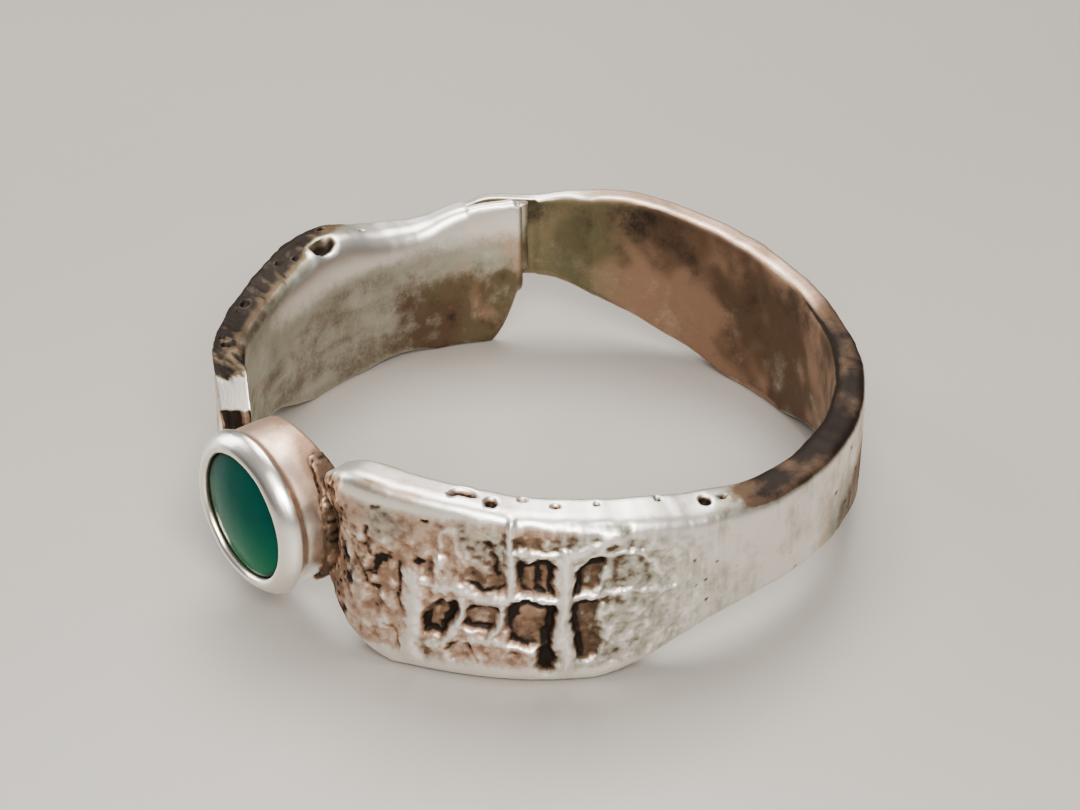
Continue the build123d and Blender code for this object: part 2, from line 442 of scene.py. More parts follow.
# Pits in the top rim: azimuth, distance in from the outside, length and width
WIDE_PITS = (
    (308.8, 0.78, 0.34, 0.15),
    (307.0, 0.62, 0.13, 0.10),
    (313.4, 0.62, 0.17, 0.18),
    (318.4, 1.00, 0.12, 0.09),
    (324.0, 0.80, 0.13, 0.08),
    (342.0, 1.00, 0.10, 0.08),
    (350.0, 0.68, 0.16, 0.15),
    (353.6, 0.66, 0.08, 0.07),
    (331.0, 0.90, 0.07, 0.06),
)


def wide_relief(azimuth, height):
    """Height of the wide strip's outside above its plain surface, and its tarnish."""
    along = azimuth * ALONG
    # everything is drawn on slightly warped paper, so that no line is straight
    a = azimuth + 0.5 * fractal(along, height, 0.7, 11) + 0.35 * fractal(along, height, 0.25, 13)
    z = height + 0.08 * fractal(along, height, 0.6, 17) + 0.06 * fractal(along, height, 0.25, 19)
    broken = 0.6 + 0.6 * fractal(along, height, 0.45, 21)
    grain = fractal(along, height, 0.30, 23, 4)
    coarse = fractal(along, height, 0.9, 29, 4)

    raised = np.zeros_like(a)
    for points, width, rise in RIDGES:
        raised = np.maximum(raised, rise * stroke(a, z, points, width))

    sunk = np.zeros_like(a)
    floor_dark = np.zeros_like(a)
    for left, right, bottom, top, lean, depth, shade in CELLS:
        inside = cell(a, z, left, right, bottom, top, 0.26, lean)
        sunk = np.maximum(sunk, depth * inside)
        floor_dark = np.maximum(floor_dark, shade * inside)

    line_patina_and_shade = np.zeros_like(a)
    cuts = np.zeros_like(a)
    for points, width, shade, depth in CUTS:
        line = stroke(a, z, points, width)
        line_patina_and_shade = np.maximum(line_patina_and_shade, shade * line)
        cuts = np.maximum(cuts, depth * line)

    # grain inside the punched field, fading to the right and towards the rims
    top_rim = 5.75 - 0.03 * np.maximum(azimuth - 318, 0)
    field = smooth(287.5, 290.5, azimuth) * smooth(358, 334, azimuth)
    field = field * smooth(0.35, 0.9, height) * smooth(top_rim, top_rim - 0.4, height)
    granular = smooth(301, 297, azimuth) * smooth(1.6, 2.6, height) * smooth(5.2, 4.4, height)
    calm = smooth(318, 300, azimuth) * smooth(4.3, 4.9, height)
    busy = field * (1 - 0.65 * calm)
    pitting = smooth(0.0, 0.9, fractal(along, height, 0.45, 31, 4)) * granular
    relief = 0.15 * raised - 0.20 * sunk - 0.12 * cuts
    relief += busy * (0.055 * grain + 0.05 * coarse) * (1 - 0.5 * raised)
    relief -= 0.06 * pitting

    tarnish = 0.75 * floor_dark * (1 + 0.8 * grain)
    # dark lines in the cells' corners: partly patina, partly painted shade
    tarnish += 1.1 * line_patina_and_shade * np.clip(broken, 0.2, 1.1) * (1 + 0.35 * grain)
    tarnish = np.maximum(tarnish, 0.65 * pitting)
    tarnish += busy * (0.40 + 0.16 * coarse - 0.22 * grain) * smooth(352, 330, azimuth)
    tarnish += 0.34 * field * calm - 0.55 * np.clip(raised - line_patina_and_shade, 0, 1)
    return relief, tarnish


def edge_wear_and_highlight(normal_r, normal_z):
    """1 on rounded edges, 0 on flat faces; the strips lighten these edges partly as wear and partly as a
    painted highlight.
    """
    return 4 * (normal_r * normal_z) ** 2


def underside_shade_mask(normal_z):
    """1 on faces that look down, which the strips darken as painted shade."""
    return smooth(0.4, 0.8, -normal_z)


def in_hollows(shift):
    """Darker in the relief's hollows and lighter on its high places: partly tarnish that gathers there and
    is rubbed off, partly painted shade in the hollows.
    """
    return 4.5 * (blurred(shift, 3) - shift)


def displaced(r, z, normal_r, normal_z, shift, inside):
    """Outlines moved out along their normals, but not under the floor or into the bore."""
    bore_slack = 0.01
    r = r + normal_r * shift
    z = np.maximum(z + normal_z * shift, 0.0)
    return np.where(inside > 0, np.maximum(r, BORE - bore_slack), r), z


def wide_outline():
    """The wide strip before its relief: azimuths, outer radius, and outlines as r and z."""
    fine = np.arange(282.0, 352.0, 0.26)
    plain = np.arange(352.0, 518.4, 0.72)
    azimuth = np.concatenate([fine, plain])
    inner, outer, bottom, top_in, top_out = measure_strip("wide_strip", azimuth, level=3.7)
    inner = np.where(azimuth < 488, BORE, inner)
    along = azimuth * ALONG
    zero = np.zeros_like(along)

    # uneven edges of hand-forged strip; the top is chamfered inwards at the right
    bottom = bottom + 0.05 * (1 + fractal(along, zero, 2.5, 3)) * smooth(0.0, 0.5, bottom)
    lift = (0.05 * fractal(along, zero, 1.6, 5) - 0.02) * smooth(506, 494, azimuth)
    lift -= 0.13 * bump_over(azimuth, 504, 10)
    outer = outer - 0.13 * smooth(508, 518, azimuth)
    corners = [(inner, bottom), (outer, bottom), (outer, top_out + lift), (inner, top_in + lift)]
    foot = np.interp(azimuth, [284, 300, 335, 360, 514], [0.3, 0.55, 0.5, 0.25, 0.22])
    rim = np.interp(azimuth, [284, 300, 335, 370, 430, 514],
                    [0.5, 0.5, 0.46, 0.34, 0.3, 0.26])
    chamfer = np.interp(azimuth, [284, 330, 350, 372, 410, 450, 496, 503],
                        [0.3, 0.3, 0.42, 0.95, 0.7, 0.3, 0.26, 0.07])
    r, z = rounded_profile(corners, roundings=[0.22, foot, rim, chamfer], counts=[8, 102, 12, 40], arc=6)
    return azimuth, outer, r, z


def wide_strip():
    """Punched and hammered strip, from right of the stone round the front to the lap."""
    azimuth, outer, r, z = wide_outline()
    a, u, round_path, normal_r, normal_z = surface_of(azimuth, r, z)

    outside = smooth(0.35, 0.85, normal_r)
    inside = smooth(0.55, 0.92, -normal_r)
    above = smooth(0.25, 0.7, normal_z)
    below = underside_shade_mask(normal_z)
    relief, tarnish = wide_relief(a, z)
    fade = outside * smooth(286.0, 288.5, a)
    shift = relief * fade
    dark = tarnish * fade

    # the recessed, pitted end beside the collar
    ragged = fractal(u, z, 0.8, 43)
    end = smooth(290.3, 286.8, a + 1.2 * ragged + 2.2 * smooth(5.2, 6.0, z)) * outside
    lumps = fractal(u, z, 0.42, 41, 4)
    pits = spots(u, z, 0.36, 0.15, 45, 0.8)
    shift += end * (0.06 * lumps - 0.05 - 0.06 * pits)
    dark += end * (0.70 - 0.24 * lumps + 0.35 * pits)

    # soft hammer marks outside right, with brushing and a darker lower edge
    right = outside * smooth(334, 350, a)
    hammered = fractal(u, z, 1.4, 47)
    brushed = fractal(u * 2.6, z * 0.35, 0.3, 53)
    shift += right * (0.03 * hammered + 0.008 * brushed)
    dark += right * (0.08 + 0.1 * fractal(u, z, 0.7, 59, 4) + 0.1 * brushed - 0.08 * hammered)
    low_side = smooth(370, 386, a + 4 * hammered) * smooth(424, 396, a + 4 * hammered)
    dark += 0.6 * right * low_side * smooth(3.9, 2.4, z)
    back = outside * smooth(380, 420, a)
    dark += back * (0.3 + 0.3 * fractal(u, z, 1.8, 61, 4))
    shift += back * 0.025 * fractal(u, z, 1.0, 63)
    small = spots(u, z, 0.8, 0.1, 67, 0.3) * outside * smooth(340, 350, a)
    shift -= 0.05 * small
    dark += 0.5 * small

    # pits in the top rim, each black with a painted highlight round its edge
    for place_a, place_r, length, width in WIDE_PITS:
        depth_in = outer[:, None] - r
        far = np.hypot((a - place_a) * ALONG / length, (depth_in - place_r) / width) / 1.25
        pit = smooth(1.15, 0.5, far) * smooth(0.1, 0.4, normal_z)
        shift -= 0.26 * pit
        dark += 1.5 * pit
        dark -= 0.25 * bump_over(far, 1.3, 0.35) * smooth(0.1, 0.4, normal_z)

    inner_edge = smooth(BORE + 0.16, BORE + 0.03, r) * above * smooth(352, 342, a)
    dark += 0.7 * inner_edge

    # inside: brown and mottled at the back right, peach below, olive by the lap
    blotch = fractal(u, z, 1.6, 71, 4)
    mottle = fractal(u, z, 0.55, 72, 4)
    old = inside * smooth(356, 385, a)
    spotty = spots(u, z, 1.3, 0.26, 79, 0.5)
    shift += inside * (0.012 * fractal(u, z, 1.2, 73) + 0.012 * mottle - 0.02 * spotty)
    dark += old * (0.70 + 0.10 * blotch + 0.12 * mottle - 0.12 * spotty)
    dark += old * 0.16 * smooth(1.6, 3.6, z - 0.02 * (a - 430))
    dark += inside * smooth(375, 352, a) * (0.35 + 0.2 * blotch)
    worn = fractal(u, round_path, 1.1, 77, 4)
    facet = above * smooth(338, 372, a + 6 * worn) * smooth(445, 415, a + 4 * worn)
    dark += facet * (1.02 + 0.26 * worn)
    rounding = smooth(0.1, 0.4, normal_r) * smooth(0.999, 0.94, normal_r)
    top_left = smooth(312, 296, a + 3 * worn) * rounding * smooth(4.8, 5.3, z)
    dark += 0.42 * top_left * (1 + 0.5 * mottle) * (1 - end)
    dark += above * smooth(352, 342, a) * (0.07 + 0.16 * worn)
    dark += above * smooth(415, 445, a) * smooth(506, 480, a) * (0.42 + 0.22 * worn)
    # faces that look down darkened as painted shade
    dark += below * 0.45
    # rounded edges lightened: partly wear, partly painted highlight
    dark -= 0.28 * edge_wear_and_highlight(normal_r, normal_z) * (1 - end) * (1 - 0.8 * facet)

    # dark in the relief's hollows: partly tarnish, partly painted shade
    dark += in_hollows(shift)
    r, z = displaced(r, z, normal_r, normal_z, shift, inside)
    a = hug_collar(a, r, z, first=azimuth[0], last=292.0, side=1)

    tint = np.interp(azimuth, [290, 320, 327, 333, 352, 385],
                     [0.75, 0.75, 0.45, 0.2, 0.25, 0.5])
    warm = tint[:, None] + 0.35 * fractal(u, round_path, 1.7, 89)
    warm += 0.5 * old * smooth(3.4, 2.2, z) * smooth(452, 462, a) * smooth(492, 482, a)
    warm += 0.3 * above * smooth(415, 445, a) - 0.5 * facet
    olive = smooth(478, 492, a + 3 * blotch) * (1 - 0.3 * np.abs(mottle)) * inside
    strip = (r, z, a, looks(dark, warm, olive))
    return finish_strip("forged_wide_strip", "wide_strip", *strip, bulge_start=0.05, bulge_end=0.04)


def finish_strip(name, node, r, z, azimuth, shares, bulge_start, bulge_end):
    """Caps a strip's grid, carries its shares to the caps and makes the piece."""
    columns = len(r)
    full_r, full_z, full_a = capped(r, z, azimuth, bulge_start, bulge_end)
    extra = (len(full_r) - columns) // 2
    order = np.clip(np.arange(-extra, columns + extra), 0, columns - 1)
    shares = {key: values[order] for key, values in shares.items()}
    piece = build_grid(name, place(full_r, full_a, full_z), shares)
    return stand_for(piece, node)


# The short strip

# Azimuths near the collar, where the top falls as a filed facet, then as a sawn face
FACET_TOP, FACET_LOW, SAW_TOP, SAW_LOW = 239.2, 242.8, 243.0, 244.0

# Pits in the top: azimuth, distance out from the strip's middle, length, width and depth
SHORT_PITS = (
    (190.0, -0.38, 0.58, 0.30, 0.42),
    (186.2, 0.45, 0.13, 0.10, 0.12),
    (196.8, -0.10, 0.13, 0.09, 0.12),
    (199.5, 0.25, 0.10, 0.12, 0.12),
    (179.0, 0.00, 0.10, 0.08, 0.08),
    (213.5, 0.20, 0.24, 0.14, 0.12),
    (231.5, 0.12, 0.20, 0.16, 0.14),
    (228.0, 0.30, 0.14, 0.12, 0.12),
)


def short_outline():
    """The short strip before its relief: azimuths, outer radius, and outlines as r and z."""
    azimuth = np.concatenate([
        np.arange(146.3, 233.0, 0.45),
        np.arange(233.0, 242.6, 0.3),
        np.arange(242.6, 244.6, 0.09),
        np.arange(244.6, 256.5, 0.4),
    ])
    _, outer, bottom, top_in, top_out = measure_strip("short_strip", azimuth, level=2.4)
    inner = np.full_like(outer, BORE)
    along = azimuth * ALONG
    zero = np.zeros_like(along)

    # near the collar the top follows the facet and the sawn face down to a low tongue
    cut = np.interp(azimuth, [234, FACET_TOP, FACET_LOW, SAW_TOP, SAW_LOW, 244.3, 246, 250, 257],
                    [5.32, 5.08, 4.20, 4.12, 3.52, 3.46, 3.2, 2.9, 2.8])
    near_end = smooth(234, 237, azimuth)
    top_in = mix(top_in, cut, near_end)
    top_out = mix(top_out, cut - 0.1, near_end)
    lift = 0.06 * fractal(along, zero, 1.3, 105) * smooth(238, 234, azimuth) * smooth(158, 166, azimuth)
    lift += 0.12 * smooth(167, 158, azimuth) + 0.08 * smooth(149.5, 146.5, azimuth)
    bottom = bottom + 0.05 * (1 + fractal(along, zero, 2.0, 103)) * smooth(0.0, 0.4, bottom)
    corners = [(inner, bottom), (outer, bottom), (outer, top_out + lift), (inner, top_in + lift)]
    inside_round = np.interp(azimuth, [146, 156, 172, 186, 200, 225, 236, 239, 257],
                             [0.3, 0.6, 0.95, 0.95, 0.8, 0.6, 0.2, 0.05, 0.08])
    outside_round = np.interp(azimuth, [157, 164, 180, 225, 239, 257],
                              [0.06, 0.28, 0.3, 0.22, 0.06, 0.1])
    roundings = [0.25, 0.2, outside_round, inside_round]
    r, z = rounded_profile(corners, roundings, counts=[10, 44, 30, 56], arc=7)
    return azimuth, outer, r, z


def short_strip():
    """Thicker, darker strip, from the lap round the left side to left of the stone."""
    azimuth, outer, r, z = short_outline()
    a, u, round_path, normal_r, normal_z = surface_of(azimuth, r, z)
    outside = smooth(0.35, 0.85, normal_r)
    inside = smooth(0.45, 0.9, -normal_r)
    above = smooth(0.25, 0.7, normal_z)

    # dark, lumpy top from the hump to the facet
    lumps = fractal(u, round_path, 0.6, 107, 4)
    outward = (r - BORE) / (outer[:, None] - BORE)
    begins = smooth(176, 194, a + 3 * lumps + 16 * (outward - 0.5))
    dark_top = above * begins * smooth(FACET_TOP + 0.6, FACET_TOP - 0.8, a + 0.8 * lumps)
    inner_half = smooth(0.42, 0.16, outward + 0.1 * lumps) * smooth(236, 230, a)
    dark_top = dark_top * (1 - 0.5 * inner_half)
    pits = spots(u, round_path, 0.55, 0.09, 109, 0.35)
    shift = dark_top * (0.03 * lumps - 0.05 * pits + 0.05 * lumps * smooth(222, 230, a))
    dark = dark_top * (1.10 - 0.22 * lumps + 0.25 * pits)

    # pits in the top, each with a painted highlight round its edge
    middle = (BORE + outer)[:, None] / 2
    for place_a, off, length, width, depth in SHORT_PITS:
        far = np.hypot((a - place_a) * ALONG / length, (r - middle - off) / width)
        pit = smooth(1.1, 0.5, far) * smooth(0.15, 0.5, normal_z)
        shift -= depth * pit
        dark += 1.1 * pit
        dark -= depth * bump_over(far, 1.3, 0.4) * smooth(0.15, 0.5, normal_z)

    # bright flat facet; sawn face below it, dark and grooved, with a thin bright lip. The sawn face and the
    # low tongue beyond it are dark partly from tarnish and partly as painted shade in the crevice by the
    # collar.
    facet = smooth(FACET_TOP - 0.2, FACET_TOP + 0.4, a + 0.5 * lumps)
    facet = above * facet * smooth(FACET_LOW + 0.1, FACET_LOW - 0.1, a)
    dark -= 0.35 * facet
    sawn = smooth(FACET_LOW, SAW_TOP, a) * smooth(SAW_LOW + 0.05, SAW_LOW - 0.12, a) * above
    grooves = fractal(r * 4, z * 0.8, 0.9, 111, 3) + 0.4 * np.sin(r * 19 + 5 * lumps)
    dark += sawn * (0.95 - 0.5 * grooves)
    lip = above * bump_over(a, SAW_LOW + 0.1, 0.2)
    dark -= 0.5 * lip
    # the low tongue by the collar: darkened partly as tarnish, partly as painted shade in the crevice
    tongue = smooth(SAW_LOW + 0.25, SAW_LOW + 0.6, a) * (1 - underside_shade_mask(normal_z)) * (1 - 0.75 * inside)
    dark += tongue * (0.85 - 0.2 * lumps)
    shift += tongue * above * 0.06 * lumps

    # inside: grey, with painted reflection that darkens it low down and lights a band along the top, brown
    # towards its lower right; outside pitted
    blotch = fractal(u, z, 1.4, 127, 4)
    mottle = fractal(u, z, 0.5, 129, 4)
    streak = fractal(u * 0.4 - z * 0.3, z * 1.4, 0.8, 130, 3)
    low = smooth(3.9, 2.2, z + 0.02 * (a - 150) + 0.3 * blotch) * smooth(182, 162, a)
    shift += inside * (0.016 * fractal(u, z, 1.1, 131) - 0.02 * spots(u, z, 1.1, 0.08, 137, 0.2))
    band = smooth(3.7, 4.7, z + 0.008 * (a - 150)) * smooth(225, 195, a)
    dark += inside * (0.38 + 0.05 * blotch + 0.09 * streak + 0.03 * mottle)
    dark += inside * 0.40 * low * (1 + 0.4 * mottle)
    # painted reflection: darker low down and a bright band along the top
    dark += inside * (0.08 * smooth(4.0, 2.6, z) * smooth(160, 190, a) - 0.42 * band)
    shift += outside * (0.035 * fractal(u, z, 0.8, 139, 4) - 0.05 * spots(u, z, 0.7, 0.14, 149, 0.5))
    dark += outside * (0.3 + 0.32 * blotch + 0.2 * mottle)
    # faces that look down darkened as painted shade
    dark += 0.35 * underside_shade_mask(normal_z)
    # rounded edges lightened: partly wear, partly painted highlight
    dark -= 0.25 * edge_wear_and_highlight(normal_r, normal_z) * (1 - dark_top) * (1 - tongue)
    # dark in the relief's hollows: partly tarnish, partly painted shade
    dark += in_hollows(shift)
    r, z = displaced(r, z, normal_r, normal_z, shift, inside)
    slant = smooth(232, 238, a) * smooth(248, 244.6, a) * smooth(2.6, 3.2, z)
    a = a + 0.22 * grooves * sawn + 2.4 * slant * (outer[:, None] - r) / (outer[:, None] - BORE)
    a = hug_collar(a, r, z, first=azimuth[-1], last=247.0, side=-1)
    warm = 0.5 + 0.5 * fractal(u, round_path, 1.6, 151)
    warm = mix(warm, 0.75, outside * smooth(222, 232, a))
    warm -= 0.6 * inside * smooth(160, 175, a) + 0.8 * dark_top
    olive = (inside + above * (1 - dark_top)) * smooth(-0.1, 0.6, fractal(u, z, 2.2, 157)) * 0.4
    olive = np.maximum(olive, (inside + above) * smooth(158, 148, a + 3 * blotch) * 0.5)
    olive = np.maximum(olive, 0.3 * dark_top)
    strip = (r, z, a, looks(dark, warm, olive))
    return finish_strip("forged_short_strip", "short_strip", *strip, bulge_start=0.22, bulge_end=0.02)


# The setting
def around_stone(distance, radius, angle):
    """Point from its distance out from the finger hole's axis and place about the stone's axis."""
    return np.stack([radius * np.cos(angle), -distance, STONE_Z + radius * np.sin(angle)], -1)


def on_bore(distance, radius, angle, share):
    """Distances near the back follow the round finger hole; share is 1 where they do so fully."""
    back = np.sqrt(BORE ** 2 - (radius * np.cos(angle)) ** 2)
    return mix(distance, distance + back - BORE, share)


def turned(outline, spokes):
    """Grids of distance, radius and angle for an outline turned about the stone's axis."""
    angle = np.linspace(0, 2 * math.pi, spokes, endpoint=False)[:, None] + 0 * outline[None, :, 0]
    distance = outline[None, :, 0] + 0 * angle
    radius = outline[None, :, 1] + 0 * angle
    return distance, radius, angle


def dense_path(points, step):
    """Points every step along a smooth curve through the given ones."""
    points = np.array(points)
    spans = np.hypot(*np.diff(points, axis=0).T)
    place_along = np.concatenate([[0], np.cumsum(spans)])
    wanted = np.arange(0, place_along[-1], step)
    base = np.stack([np.interp(wanted, place_along, points[:, i]) for i in (0, 1)], -1)
    for _ in range(3):
        base[1:-1] = (base[:-2] + 2 * base[1:-1] + base[2:]) / 4
    return base


def circle_noise(angle, v, size=0.8, seed=211):
    """Noise that closes on itself round a circle of the rim's radius."""
    x = np.cos(angle) * RIM_RADIUS
    y = np.sin(angle) * RIM_RADIUS
    return 0.5 * (fractal(x + 7.0, y + v, size, seed) + fractal(y + 3.0, x - v, size, seed + 9))


def bezel_collar():
    """Tube around the stone, with a groove behind the thick rim that holds it."""
    seat = STONE_RADIUS + 0.02
    side = RIM_RADIUS - 0.15

    # the outline runs from the back of the outside, over the rim and down the seat to
    # the back. Behind the front, the groove is given by its radius and the rim by how
    # far it lies inside its widest place.
    groove_line = [(1.05, side), (0.92, side - 0.01), (0.83, side - 0.03), (0.74, side), (0.66, side + 0.09)]
    rim_line = [(0.54, 0.01), (0.38, 0.05), (0.23, 0.15), (0.11, 0.27), (0.03, 0.40),
                (0.02, 0.51), (0.09, 0.60), (0.20, 0.62), (0.31, 0.57)]
    outline = [(BORE + 0.03, side - 0.04), (BORE + 0.10, side), (BORE + 0.5, side + 0.01)]
    outline += [(RIM_FRONT - behind, radius) for behind, radius in groove_line]
    outline += [(RIM_FRONT - behind, RIM_RADIUS - inside) for behind, inside in rim_line]
    outline += [(RIM_FRONT - 0.42, seat), (STONE_BASE, seat), (STONE_BASE - 0.2, seat)]
    outline += [(BORE + 0.04, seat), (BORE, seat + 0.05)]
    step = 0.035
    fine = dense_path(outline, step)
    distance, radius, angle = turned(fine, spokes=300)
    v = np.arange(len(fine))[None, :] * step + 0 * angle
    turn = circle_noise(angle, v)
    rim = smooth(RIM_FRONT - 0.7, RIM_FRONT - 0.4, distance)
    inward = v > v[0, np.argmax(fine[:, 0])]
    seat_side = smooth(RIM_FRONT - 0.12, RIM_FRONT - 0.26, distance) * inward
    outer_side = 1 - seat_side

    # the rim was rubbed over by hand, so it is uneven in width and slightly faceted
    radius = radius + rim * (0.03 * circle_noise(angle, 0 * v, 1.6, 201) + 0.008 * turn)
    radius = radius + (1 - rim) * outer_side * 0.022 * circle_noise(angle, v, 1.1, 203)
    distance = distance + rim * 0.025 * circle_noise(angle, 0 * v, 1.8, 207)
    radius = np.minimum(radius, RIM_RADIUS)
    distance = np.minimum(distance, RIM_FRONT)
    distance = on_bore(distance, radius, angle, smooth(STONE_BASE, BORE + 0.15, distance))

    # darker by the groove, by the strips and above, bright on the rim, and painted black at the stone as
    # shade in the gap round it
    groove = bump_over(distance, RIM_FRONT - 0.80, 0.16) * outer_side
    near_back = smooth(BORE + 0.95, BORE + 0.2, distance) * outer_side
    shoulder = near_back * bump_over(np.degrees(angle), 48, 34)
    upper = smooth(0.2, 0.8, np.sin(angle)) * (1 - rim) * outer_side
    dark = 0.12 + 0.14 * turn + 0.08 * groove + 0.25 * near_back
    dark += 0.5 * shoulder * (1 + turn) + 0.26 * upper - 0.25 * rim * outer_side
    # the seat beside the stone painted black as shade in the gap
    dark = mix(dark, 1.2, seat_side)
    warm = 0.6 + 0.3 * turn + 0.3 * upper
    points = around_stone(distance, radius, angle)
    piece = build_grid("rubbed_over_collar", points, looks(dark, warm), columns_close=True)
    return stand_for(piece, "bezel_collar")


def cabochon():
    """Dome, girdle and flat base, as one outline turned from the middle of the dome."""
    rings = 60
    rise = 0.35
    girdle = STONE_FRONT - rise
    dome_radius = (STONE_RADIUS ** 2 + rise ** 2) / (2 * rise)
    reach = np.linspace(0, STONE_RADIUS, rings)[1:]
    dome = STONE_FRONT - dome_radius + np.sqrt(dome_radius ** 2 - reach ** 2)
    outline = list(zip(dome, reach))
    outline += [(girdle - 0.06, STONE_RADIUS), (girdle - 0.3, STONE_RADIUS)]
    outline += [(STONE_BASE + 0.05, STONE_RADIUS - 0.01), (STONE_BASE, STONE_RADIUS - 0.06)]
    outline += [(STONE_BASE, STONE_RADIUS * 0.6), (STONE_BASE, STONE_RADIUS * 0.1)]
    distance, radius, angle = turned(np.array(outline), spokes=160)
    x, y = np.cos(angle) * radius, np.sin(angle) * radius

    # hand-polished dome: very slightly uneven
    domed = smooth(girdle, girdle + 0.2, distance)
    distance = distance - 0.012 * (1 + fractal(x + 9, y + 9, 1.6, 301)) * domed
    points = around_stone(distance, radius, angle)
    piece = build_grid("green_cabochon", points, outline_closes=False, columns_close=True)
    return stand_for(piece, "cabochon")


def bezel_floor():
    """Disc behind the stone, hollowed at the back to clear the finger."""
    rings = 40
    edge = STONE_RADIUS + 0.01
    reach = np.linspace(0.04, 1, rings) * edge
    back = [(FLOOR_BACK + 0.015, x) for x in reach]
    front = [(STONE_BASE - 0.02, x) for x in reach[::-1]]
    distance, radius, angle = turned(np.array(back + front), spokes=120)
    is_back = smooth(STONE_BASE - 0.1, FLOOR_BACK + 0.1, distance)
    distance = on_bore(distance, radius, angle, is_back)
    x, y = np.cos(angle) * radius, np.sin(angle) * radius
    distance = distance + is_back * 0.012 * (1 + fractal(x + 5, y + 5, 0.9, 307))
    seam = smooth(edge - 0.22, edge - 0.05, radius)
    dark = is_back * (0.3 + 0.25 * fractal(x, y, 0.9, 311) + 0.5 * seam)
    warm = 0.5 + 0.5 * fractal(x, y, 1.5, 313)
    shares = looks(dark, warm, lowest=0, highest=1.2)
    points = around_stone(distance, radius, angle)
    piece = build_grid("setting_floor", points, shares, outline_closes=False, columns_close=True)
    return stand_for(piece, "bezel_floor")


# Solder
def tube_grid(steps, rows):
    """Grids of the share of the way along a bead and of the angle round it."""
    share = np.linspace(0, 1, steps)[:, None] + np.zeros((1, rows))
    turn = np.linspace(0, 2 * math.pi, rows, endpoint=False)[None, :] + np.zeros((steps, 1))
    return share, turn


def blunted(wave, power):
    """A sine or cosine with flatter tops, which makes a round bead squarer."""
    return np.sign(wave) * np.abs(wave) ** power


def seam_bead(name, node, start, end, seed):
    """Lumpy, pitted solder along the collar's side between two angles about the stone's axis."""
    share, turn = tube_grid(steps=100, rows=34)
    angle = np.radians(start + (end - start) * share)
    taper = np.sin(math.pi * (0.04 + 0.92 * share)) ** 0.5
    forward = blunted(np.cos(turn), 0.6)
    outward = blunted(np.sin(turn), 0.7)
    tall = 0.74 * (0.25 + 0.75 * taper)
    wide = 0.30 * (0.3 + 0.7 * taper)
    distance = BORE + 0.05 + tall / 2 * (1 + forward)
    radius = RIM_RADIUS - 0.22 + wide / 2 * (1 + outward)
    u, v = angle * RIM_RADIUS, turn * 0.3
    lumps = fractal(u, v, 0.4, seed, 4)
    pits = spots(u, v + distance, 0.26, 0.11, seed + 5, 0.8)
    front = smooth(-0.1, 0.6, np.cos(turn))
    distance = distance + front * (0.07 * lumps - 0.05 * pits)
    radius = radius + 0.03 * lumps * (outward > 0)
    distance = on_bore(distance, radius, angle, smooth(0.0, -0.8, np.cos(turn)))
    dark = 0.70 - 0.30 * lumps + 0.4 * pits
    shares = looks(dark, warm=0.45 + 0.4 * lumps, lowest=0)
    piece = build_grid(name, around_stone(distance, radius, angle), shares)
    return stand_for(piece, node)


def lap_solder():
    """Film in the lap, with a fillet along the short strip's free end."""
    low, high = box_mm("lap_joint_solder")
    over_top = 0.52
    share, turn = tube_grid(steps=70, rows=48)
    height = mix(low[2], high[2] + over_top, share)
    lumps = fractal(height, turn * 0.4, 0.5, 401, 3)
    middle, half = 150.8, 6.8
    azimuth = middle + (half + 0.25 * lumps) * np.cos(turn)
    fillet = smooth(147.6, 145.6, azimuth)
    height = height - 0.08 * smooth(153, 156, azimuth) * smooth(4.6, 5.2, height)
    wide = 0.08 + 0.19 * fillet + 0.08 * smooth(4.8, 5.2, height)
    r = BORE + 0.44 - 0.12 * fillet + wide * np.sin(turn) + 0.02 * lumps
    dark = 0.10 - 0.15 * lumps + 0.5 * smooth(4.6, 3.4, height)
    shares = looks(dark, warm=0.3, olive=0.3, lowest=-0.2, highest=1)
    piece = build_grid("lap_solder_bead", place(r, azimuth, height), shares)
    return stand_for(piece, "lap_joint_solder")


# Materials
class Nodes:
    """Small helper for building the node tree of a material or a world."""

    def __init__(self, owner):
        owner.use_nodes = True
        self.tree = owner.node_tree

    def add(self, kind, **settings):
        node = self.tree.nodes.new(kind)
        for key, value in settings.items():
            setattr(node, key, value)
        return node

    def fill(self, socket, value):
        """Gives a socket a number or an (r, g, b) colour, or links another node's output to it."""
        if isinstance(value, tuple):
            socket.default_value = (*value, 1)
        elif isinstance(value, (int, float)):
            socket.default_value = value
        else:
            self.tree.links.new(value, socket)

    def length(self, vector):
        node = self.add("ShaderNodeVectorMath", operation="LENGTH")
        self.fill(node.inputs[0], vector)
        return node.outputs["Value"]

    def math(self, operation, *values):
        node = self.add("ShaderNodeMath", operation=operation)
        for socket, value in zip(node.inputs, values):
            self.fill(socket, value)
        return node.outputs[0]

    def vary(self, value, noise, amount):
        """A value moved up and down by a noise, which is 0.5 where it leaves it alone."""
        swing = self.math("MULTIPLY", self.math("SUBTRACT", noise, 0.5), amount)
        return self.math("ADD", value, swing)

    def remap(self, value, low, high, to_low=0.0, to_high=1.0):
        node = self.add("ShaderNodeMapRange", clamp=True, interpolation_type="SMOOTHSTEP")
        self.fill(node.inputs["Value"], value)
        for key, number in (("From Min", low), ("From Max", high), ("To Min", to_low), ("To Max", to_high)):
            node.inputs[key].default_value = number
        return node.outputs["Result"]

    def blend(self, share, a, b):
        """Colour a where share is 0, b where it is 1; each is a socket or (r, g, b)."""
        node = self.add("ShaderNodeMix", data_type="RGBA")
        # a colour mix takes its share at input 0 and its two colours at 6 and 7
        for slot, value in ((0, share), (6, a), (7, b)):
            self.fill(node.inputs[slot], value)
        return node.outputs[2]


